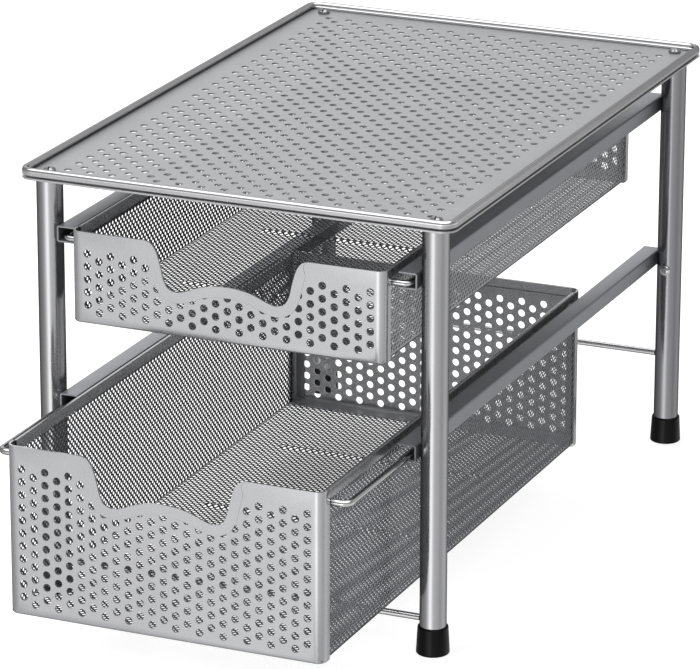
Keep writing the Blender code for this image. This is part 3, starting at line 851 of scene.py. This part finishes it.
def expanded_mesh(width, height, place, to_world):
    """A sheet full of diamond openings in rows that are staggered, with a plain edge.

    The openings sit at the places (i, j) of a grid where i + j is even. At the other places the strands meet.
    Slitting and stretching the sheet leaves its strands leaning, more or less at each place of a basket.
    """
    opening = MESH_HALF_OPENINGS[place]
    lean = MESH_LEANS[place]
    columns = 2 * int((width / 2 - MESH_BORDER - opening) / MESH_HALF_STEP)
    rows = 2 * int((height / 2 - MESH_BORDER - opening) / MESH_HALF_STEP)
    columns -= columns % 4
    rows -= rows % 4
    step_x = (width / 2 - MESH_BORDER - opening) * 2 / columns
    step_z = (height / 2 - MESH_BORDER - opening) * 2 / rows
    bm = bmesh.new()
    corners = {}

    def at(i, j):
        return (i - columns / 2) * step_x, (j - rows / 2) * step_z

    def corner(i, j, di, dj):
        """Both faces' points at an opening's corner towards (di, dj), or at a place on the sheet's edge."""
        key = (i, j, di, dj)
        if key not in corners:
            x, z = at(i, j)
            out = -dj * lean
            if 0 <= i <= columns and 0 <= j <= rows:
                x += di * opening
                z += dj * opening
            else:
                x = out_to_edge(i, columns, x, width / 2)
                z = out_to_edge(j, rows, z, height / 2)
            corners[key] = [bm.verts.new(to_world(x, z, out + side * MESH_THICKNESS / 2)) for side in (-1, 1)]
        return corners[key]

    def both_sides(points):
        bm.faces.new([point[1] for point in points])
        bm.faces.new([point[0] for point in reversed(points)])

    for i in range(columns + 1):
        for j in range(rows + 1):
            if (i + j) % 2:
                right = corner(i + 1, j, -1, 0) if i < columns else corner(columns + 1, j, 0, 0)
                above = corner(i, j + 1, 0, -1) if j < rows else corner(i, rows + 1, 0, 0)
                left = corner(i - 1, j, 1, 0) if i > 0 else corner(-1, j, 0, 0)
                below = corner(i, j - 1, 0, 1) if j > 0 else corner(i, -1, 0, 0)
                both_sides([right, above, left, below])
            else:
                ring = [corner(i, j, 1, 0), corner(i, j, 0, 1), corner(i, j, -1, 0), corner(i, j, 0, -1)]
                for start, end in zip(ring, ring[1:] + ring[:1]):
                    bm.faces.new((start[0], end[0], end[1], start[1]))
            if i < columns and j < rows:
                if (i + j) % 2 == 0:
                    strand = ((i, j, 1, 0), (i + 1, j + 1, 0, -1), (i + 1, j + 1, -1, 0), (i, j, 0, 1))
                else:
                    strand = ((i + 1, j, 0, 1), (i, j + 1, 1, 0), (i, j + 1, 0, -1), (i + 1, j, -1, 0))
                both_sides([corner(*key) for key in strand])
    close_edges(bm, corner, both_sides, columns, rows)
    bmesh.ops.recalc_face_normals(bm, faces=bm.faces)
    return mesh_from("expanded", bm)


def out_to_edge(index, count, place, half):
    """The place itself inside the sheet, or the sheet's edge for an index before 0 or past count."""
    if index < 0:
        return -half
    if index > count:
        return half
    return min(max(place, -half), half)


def close_edges(bm, corner, both_sides, columns, rows):
    """The plain edge of an expanded mesh, between its outermost openings and the sheet's sides."""
    right = columns + 1
    top = rows + 1
    for j in range(2, rows, 2):
        side_edges = (
            ((-1, j - 1, 0, 0), (0, j, 0, -1), (0, j, -1, 0), (0, j, 0, 1), (-1, j + 1, 0, 0)),
            (
                (right, j + 1, 0, 0),
                (columns, j, 0, 1),
                (columns, j, 1, 0),
                (columns, j, 0, -1),
                (right, j - 1, 0, 0),
            ),
        )
        for edge in side_edges:
            both_sides([corner(*key) for key in edge])
    for i in range(2, columns, 2):
        level_edges = (
            ((i + 1, -1, 0, 0), (i, 0, 1, 0), (i, 0, 0, -1), (i, 0, -1, 0), (i - 1, -1, 0, 0)),
            ((i - 1, top, 0, 0), (i, rows, -1, 0), (i, rows, 0, 1), (i, rows, 1, 0), (i + 1, top, 0, 0)),
        )
        for edge in level_edges:
            both_sides([corner(*key) for key in edge])
    for i, j, di, dj in ((0, 0, -1, -1), (columns, 0, 1, -1), (columns, rows, 1, 1), (0, rows, -1, 1)):
        edge_i = -1 if di < 0 else right
        edge_j = -1 if dj < 0 else top
        loop = [
            corner(edge_i, j - dj, 0, 0),
            corner(edge_i, edge_j, 0, 0),
            corner(i - di, edge_j, 0, 0),
            corner(i, j, -di, 0),
            corner(i, j, 0, dj),
            corner(i, j, di, 0),
            corner(i, j, 0, -dj),
        ]
        both_sides(loop if di * dj > 0 else loop[::-1])
    rim = [corner(i, -1, 0, 0) for i in range(1, columns, 2)] + [corner(right, -1, 0, 0)]
    rim += [corner(right, j, 0, 0) for j in range(1, rows, 2)] + [corner(right, top, 0, 0)]
    rim += [corner(i, top, 0, 0) for i in range(columns - 1, 0, -2)] + [corner(-1, top, 0, 0)]
    rim += [corner(-1, j, 0, 0) for j in range(rows - 1, 0, -2)] + [corner(-1, -1, 0, 0)]
    for start, end in zip(rim, rim[1:] + rim[:1]):
        bm.faces.new((start[1], end[1], end[0], start[0]))


def ridge(x, y):
    """How far a basket's floor stands up at a place, x from its middle and y from its front."""
    height = 0
    for place in RIDGE_PLACES:
        across = (y - place) / RIDGE_HALF_WIDTH
        along = max(abs(x) - RIDGE_HALF_LENGTH, 0) / RIDGE_HALF_WIDTH
        away = min(hypot(across, along), 1)
        height = max(height, RIDGE_HEIGHT * (1 + cos(pi * away)) / 2)
    return height


def build_floor(tier):
    node = tier + "_floor_mesh"
    low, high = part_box(node)
    size = high - low
    middle = (low + high) / 2

    def to_world(x, y, z):
        return (middle.x + x, middle.y + y, middle.z + z + ridge(x, y + size.y / 2))

    mesh = expanded_mesh(size.x, size.y, "floor", to_world)
    add_piece(tier + "_floor_net", mesh, mesh_steel, BODY_OF_TIER[tier], "mesh_metal", node)


def build_walls(tier):
    for side in SIDES:
        node = f"{tier}_side_mesh_{side}"
        low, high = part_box(node)
        size = high - low
        middle = (low + high) / 2

        def to_world(y, z, x):
            return (middle.x + x, middle.y + y, middle.z + z)

        place = f"{tier}_{side}"
        mesh = expanded_mesh(size.y, size.z, place, to_world)
        # Each wall's net takes its lit or darker copy of the mesh steel: painted light and shade.
        add_piece(f"{tier}_side_net_{side}", mesh, lit_and_shaded_net_steels[place], BODY_OF_TIER[tier], "mesh_metal", node)


def build_bands(tier):
    """The plain strips folded over the tops of a basket's sides."""
    for side in SIDES:
        node = f"{tier}_side_band_{side}"
        low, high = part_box(node)
        wall = BAND_WALL
        outline = [
            (low.x, low.z),
            (low.x + wall, low.z),
            (low.x + wall, high.z - wall),
            (high.x - wall, high.z - wall),
            (high.x - wall, low.z),
            (high.x, low.z),
            (high.x, high.z),
            (low.x, high.z),
        ]
        line = rounded(outline, BAND_BENDS, steps=BAND_BEND_STEPS)
        mesh = extruded(line, low.y, high.y, lambda x, z, y: (x, y, z))
        # The bands' steel is darker than the plates': painted shade along the tops of the sides.
        add_piece(f"{tier}_side_strip_{side}", mesh, shaded_band_steel, BODY_OF_TIER[tier], "plate_metal", node)


def build_runners(tier):
    for side, sign in SIDES.items():
        node = f"{tier}_runner_{side}"
        low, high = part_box(node)
        radius = (high.z - low.z) / 2
        start = low.x if sign > 0 else high.x
        line_x = (high.x - radius) if sign > 0 else (low.x + radius)
        front = low.y + radius
        rear = high.y - radius
        level = (low.z + high.z) / 2
        corners = [(start, front), (line_x, front), (line_x, rear), (start, rear)]
        points = rounded(corners, RUNNER_BEND, closed=False)
        curve = wire_curve([(x, y, level) for x, y in points], 2 * radius)
        add_piece(f"{tier}_slide_wire_{side}", curve, chrome, BODY_OF_TIER[tier], "bright_metal", node)


def build_basket(tier):
    end_plate(tier, "front")
    end_plate(tier, "back")
    build_floor(tier)
    build_walls(tier)
    build_bands(tier)
    build_runners(tier)


# Shader nodes


def feed(tree, inputs, values):
    """Gives each input its value. Where that is another node's socket, it is linked."""
    for socket, value in zip(inputs, values):
        if isinstance(value, (int, float)):
            socket.default_value = value
        else:
            tree.links.new(value, socket)


def math_node(tree, operation, *values):
    """A Math node with these values or sockets as its inputs."""
    node = tree.nodes.new("ShaderNodeMath")
    node.operation = operation
    feed(tree, node.inputs, values)
    return node.outputs[0]


def smooth_step(tree, value, start, end):
    """A socket that goes smoothly from 0 at start to 1 at end."""
    node = tree.nodes.new("ShaderNodeMapRange")
    node.interpolation_type = "SMOOTHSTEP"
    feed(tree, node.inputs, (value, start, end))
    return node.outputs[0]


def blend_values(tree, first, second, share):
    """A socket that goes from the first value to the second as share goes from 0 to 1."""
    node = tree.nodes.new("ShaderNodeMix")
    node.data_type = "FLOAT"
    feed(tree, (node.inputs[2], node.inputs[3], node.inputs[0]), (first, second, share))
    return node.outputs[0]


def weighed(tree, first, second, share):
    """A socket that adds up the first value times share, and the second times what is left of 1."""
    return math_node(tree, "MULTIPLY_ADD", first, share, math_node(tree, "MULTIPLY", second, 1 - share))


def texture(tree, scale, stretch):
    """A noise socket with a mean of 0.5. Scale is in spots to the metre. A stretch below 1 draws them out."""
    mapping = tree.nodes.new("ShaderNodeMapping")
    mapping.inputs["Scale"].default_value = stretch
    tree.links.new(tree.nodes.new("ShaderNodeTexCoord").outputs["Object"], mapping.inputs["Vector"])
    noise = tree.nodes.new("ShaderNodeTexNoise")
    noise.inputs["Scale"].default_value = scale
    noise.inputs["Detail"].default_value = NOISE_DETAIL
    tree.links.new(mapping.outputs["Vector"], noise.inputs["Vector"])
    return noise.outputs["Fac"]


def spread(tree, noise, low, high):
    """A socket that goes from low to high over the noise's usual range."""
    node = tree.nodes.new("ShaderNodeMapRange")
    feed(tree, node.inputs, (noise, *NOISE_RANGE, low, high))
    return node.outputs[0]


# Materials


def new_material(
    name, colour, metallic, roughness, tint=1.0, shades=0.05, uneven=0.04, grain=900, bump=0.1, along=EVEN
):
    """A finish with slow changes of shade, uneven gloss and a fine grain."""
    material = bpy.data.materials.new(name)
    material.use_nodes = True
    tree = material.node_tree
    shader = tree.nodes["Principled BSDF"]
    shader.inputs["Metallic"].default_value = metallic
    shader.inputs["Specular Tint"].default_value = (tint, tint, tint, 1)
    clouds = texture(tree, CLOUD_SCALE, along)
    specks = texture(tree, grain, along)
    shade_mix = tree.nodes.new("ShaderNodeMix")
    shade_mix.data_type = "RGBA"
    shade_mix.inputs[6].default_value = (*[c * (1 - shades) for c in colour], 1)
    shade_mix.inputs[7].default_value = (*[c * (1 + shades) for c in colour], 1)
    blend = weighed(tree, clouds, specks, CLOUD_SHARE)
    tree.links.new(spread(tree, blend, 0, 1), shade_mix.inputs[0])
    tree.links.new(shade_mix.outputs[2], shader.inputs["Base Color"])
    gloss = weighed(tree, specks, texture(tree, GLOSS_SCALE, along), GLOSS_SHARE)
    tree.links.new(spread(tree, gloss, roughness - uneven, roughness + uneven), shader.inputs["Roughness"])
    relief = tree.nodes.new("ShaderNodeBump")
    relief.inputs["Strength"].default_value = bump
    relief.inputs["Distance"].default_value = GRAIN_DEPTH
    tree.links.new(specks, relief.inputs["Height"])
    tree.links.new(relief.outputs[0], shader.inputs["Normal"])
    return material


# Stage


def build_stage():
    """A pale floor that keeps the object's shadow. Metal looks through it to the studio's panels."""
    bm = bmesh.new()
    bmesh.ops.create_grid(bm, x_segments=1, y_segments=1, size=FLOOR_HALF)
    bmesh.ops.translate(bm, vec=(0, 0, -FLOOR_DROP), verts=bm.verts)
    floor = bpy.data.objects.new("studio_floor", mesh_from("studio_floor", bm))
    bpy.context.scene.collection.objects.link(floor)
    material = bpy.data.materials.new("studio_floor")
    material.use_nodes = True
    tree = material.node_tree
    tree.nodes.clear()
    output = tree.nodes.new("ShaderNodeOutputMaterial")
    diffuse = tree.nodes.new("ShaderNodeBsdfDiffuse")
    diffuse.inputs["Color"].default_value = (*[FLOOR_COLOUR] * 3, 1)
    glow = tree.nodes.new("ShaderNodeEmission")
    path = tree.nodes.new("ShaderNodeLightPath")
    through = math_node(tree, "MAXIMUM", path.outputs["Is Camera Ray"], path.outputs["Is Transmission Ray"])
    tree.links.new(math_node(tree, "MULTIPLY", through, FLOOR_SHOWN), glow.inputs["Strength"])
    add = tree.nodes.new("ShaderNodeAddShader")
    tree.links.new(diffuse.outputs[0], add.inputs[0])
    tree.links.new(glow.outputs[0], add.inputs[1])
    clear = tree.nodes.new("ShaderNodeBsdfTransparent")
    mix = tree.nodes.new("ShaderNodeMixShader")
    tree.links.new(path.outputs["Is Glossy Ray"], mix.inputs[0])
    tree.links.new(add.outputs[0], mix.inputs[1])
    tree.links.new(clear.outputs[0], mix.inputs[2])
    tree.links.new(mix.outputs[0], output.inputs["Surface"])
    floor.data.materials.append(material)


def build_world():
    """White where the camera looks, and a studio's soft panels where metal does."""
    world = bpy.data.worlds.new("studio")
    bpy.context.scene.world = world
    world.use_nodes = True
    tree = world.node_tree
    nodes = tree.nodes
    links = tree.links
    nodes.clear()
    output = nodes.new("ShaderNodeOutputWorld")
    direction = nodes.new("ShaderNodeSeparateXYZ")
    links.new(nodes.new("ShaderNodeTexCoord").outputs["Generated"], direction.inputs[0])
    x, y, z = direction.outputs
    turn = math_node(tree, "ARCTAN2", x, math_node(tree, "MULTIPLY", y, -1))
    share = math_node(tree, "MULTIPLY_ADD", turn, 1 / (2 * pi), 0.5)
    ramp = nodes.new("ShaderNodeValToRGB")
    ramp.color_ramp.interpolation = "B_SPLINE"
    strongest = max(strength for _, strength in LOW_PANELS)
    stops = ramp.color_ramp.elements
    while len(stops) < len(LOW_PANELS):
        stops.new(0.5)
    for stop, (degrees, strength) in zip(stops, LOW_PANELS):
        stop.position = degrees / 360 + 0.5
        level = strength / strongest
        stop.color = (level, level, level, 1)
    links.new(share, ramp.inputs[0])
    low = math_node(tree, "MULTIPLY", ramp.outputs[0], strongest)
    under_heights = [sin(radians(-angle)) for angle in UNDER_STARTS]
    under_share = smooth_step(tree, math_node(tree, "MULTIPLY", z, -1), *under_heights)
    in_front = smooth_step(tree, math_node(tree, "MULTIPLY", y, -1), *UNDER_DEPTHS)
    low = blend_values(tree, low, UNDER_PANEL, math_node(tree, "MULTIPLY", under_share, in_front))
    middle_share, front_top, back_top = (
        smooth_step(tree, z, *[sin(radians(angle)) for angle in starts])
        for starts in (MIDDLE_STARTS, TOP_STARTS, BACK_TOP_STARTS)
    )
    top_share = blend_values(tree, front_top, back_top, smooth_step(tree, y, *BACK_TOP_DEPTHS))
    back = blend_values(tree, *BACK_PANELS, smooth_step(tree, x, *BACK_LEFT_DEPTHS))
    middle = blend_values(tree, MIDDLE_PANEL, back, smooth_step(tree, y, *BACK_DEPTHS))
    level = blend_values(tree, low, middle, middle_share)
    level = blend_values(tree, level, TOP_PANEL, top_share)
    path = nodes.new("ShaderNodeLightPath")
    white = math_node(tree, "MAXIMUM", path.outputs["Is Camera Ray"], path.outputs["Is Transmission Ray"])
    strength = blend_values(tree, WORLD_LIGHT, level, path.outputs["Is Glossy Ray"])
    strength = blend_values(tree, strength, 1.0, white)
    background = nodes.new("ShaderNodeBackground")
    background.inputs["Color"].default_value = (1, 1, 1, 1)
    links.new(strength, background.inputs["Strength"])
    links.new(background.outputs[0], output.inputs["Surface"])


def build_lights():
    for name, (place, target, size, power) in LAMPS.items():
        light = bpy.data.lights.new(name, "AREA")
        light.shape = "RECTANGLE"
        light.size, light.size_y = size
        light.energy = power
        lamp = bpy.data.objects.new(name, light)
        lamp.visible_glossy = False
        bpy.context.scene.collection.objects.link(lamp)
        lamp.location = place
        aim = Vector(target) - Vector(place)
        lamp.rotation_mode = "QUATERNION"
        lamp.rotation_quaternion = aim.to_track_quat("-Z", "Y")


def build_camera():
    data = bpy.data.cameras.new("camera")
    data.sensor_width = CAMERA_SENSOR
    data.lens = CAMERA_LENS
    camera = bpy.data.objects.new("camera", data)
    bpy.context.scene.collection.objects.link(camera)
    camera.matrix_world = (
        Matrix.Translation(CAMERA_PLACE)
        @ Matrix.Rotation(CAMERA_YAW, 4, "Z")
        @ Matrix.Rotation(pi / 2 - CAMERA_PITCH, 4, "X")
        @ Matrix.Rotation(CAMERA_ROLL, 4, "Z")
    )
    bpy.context.scene.camera = camera


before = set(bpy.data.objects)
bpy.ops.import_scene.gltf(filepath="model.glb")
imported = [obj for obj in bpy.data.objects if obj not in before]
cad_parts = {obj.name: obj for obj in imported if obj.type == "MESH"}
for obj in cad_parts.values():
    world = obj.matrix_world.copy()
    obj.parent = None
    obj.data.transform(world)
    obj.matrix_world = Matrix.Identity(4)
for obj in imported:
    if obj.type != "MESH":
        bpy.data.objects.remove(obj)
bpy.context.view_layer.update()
bpy.context.scene.view_settings.view_transform = "Standard"

silver_paint = new_material("silver_paint", (0.358, 0.36, 0.371), 0.6, 0.42, bump=0.15)
silver_plate = new_material("silver_plate", (0.49, 0.49, 0.50), 0.6, 0.30, bump=0.06)
mesh_steel = new_material("mesh_steel", (0.116, 0.118, 0.126), 0.7, 0.34, grain=600)
# The right walls' nets get lighter copies of the mesh steel, which paint light on their outer sides; the
# floors and the left walls keep the darker one.
lit_lower_net_steel = new_material("lit_lower_net_steel", (0.205, 0.21, 0.228), 0.7, 0.34, grain=600)
lit_upper_net_steel = new_material("lit_upper_net_steel", (0.43, 0.435, 0.455), 0.7, 0.34, grain=600)
lit_and_shaded_net_steels = {
    "upper_left": mesh_steel,
    "lower_left": mesh_steel,
    "upper_right": lit_upper_net_steel,
    "lower_right": lit_lower_net_steel,
}
tube_steel = new_material("tube_steel", (0.43, 0.43, 0.44), 1.0, 0.19, **DRAWN_TUBE)
# A darker copy of the tube steel for the rear legs, which paints their shade.
shaded_rear_tube_steel = new_material("shaded_rear_tube_steel", (0.27, 0.27, 0.28), 1.0, 0.19, **DRAWN_TUBE)
rail_steel = new_material("rail_steel", (0.315, 0.325, 0.35), 0.7, 0.38, bump=0.12)
chrome = new_material("chrome", (0.72, 0.72, 0.73), 1.0, 0.14, tint=0.2, uneven=0.03, bump=0.03)
plate_steel = new_material("plate_steel", (0.515, 0.517, 0.53), 0.8, 0.2, bump=0.02)
# Darker than the plate steel, which paints the shade on the side bands.
shaded_band_steel = new_material("shaded_band_steel", (0.45, 0.452, 0.464), 0.9, 0.28, bump=0.05)
# A less metallic copy of the plate steel for the flange under the back: painted light in the basket's shade.
lit_flange_steel = new_material("lit_flange_steel", (0.46, 0.462, 0.474), 0.35, 0.42, bump=0.1)
# A darker, duller copy of the plate steel for the back's corner returns: painted shade.
shaded_return_steel = new_material("shaded_return_steel", (0.34, 0.342, 0.352), 0.35, 0.50, bump=0.1)
screw_steel = new_material("screw_steel", (0.42, 0.42, 0.43), 1.0, 0.24, tint=0.6, bump=0.06)
bolt_steel = new_material("bolt_steel", (0.7, 0.7, 0.7), 1.0, 0.22, tint=0.6, bump=0.06)
black_rubber = new_material(
    "black_rubber", (0.0012, 0.0012, 0.0013), 0.0, 0.15, shades=0.3, uneven=0.03, grain=1400, bump=0.05
)
black_rubber.node_tree.nodes["Principled BSDF"].inputs["Specular IOR Level"].default_value = 0.15

build_tray()
build_legs()
build_plugs()
build_fasteners()
build_rails()
build_rods()
for tier_name in BODY_OF_TIER:
    build_basket(tier_name)
build_stage()
build_world()
build_lights()
build_camera()
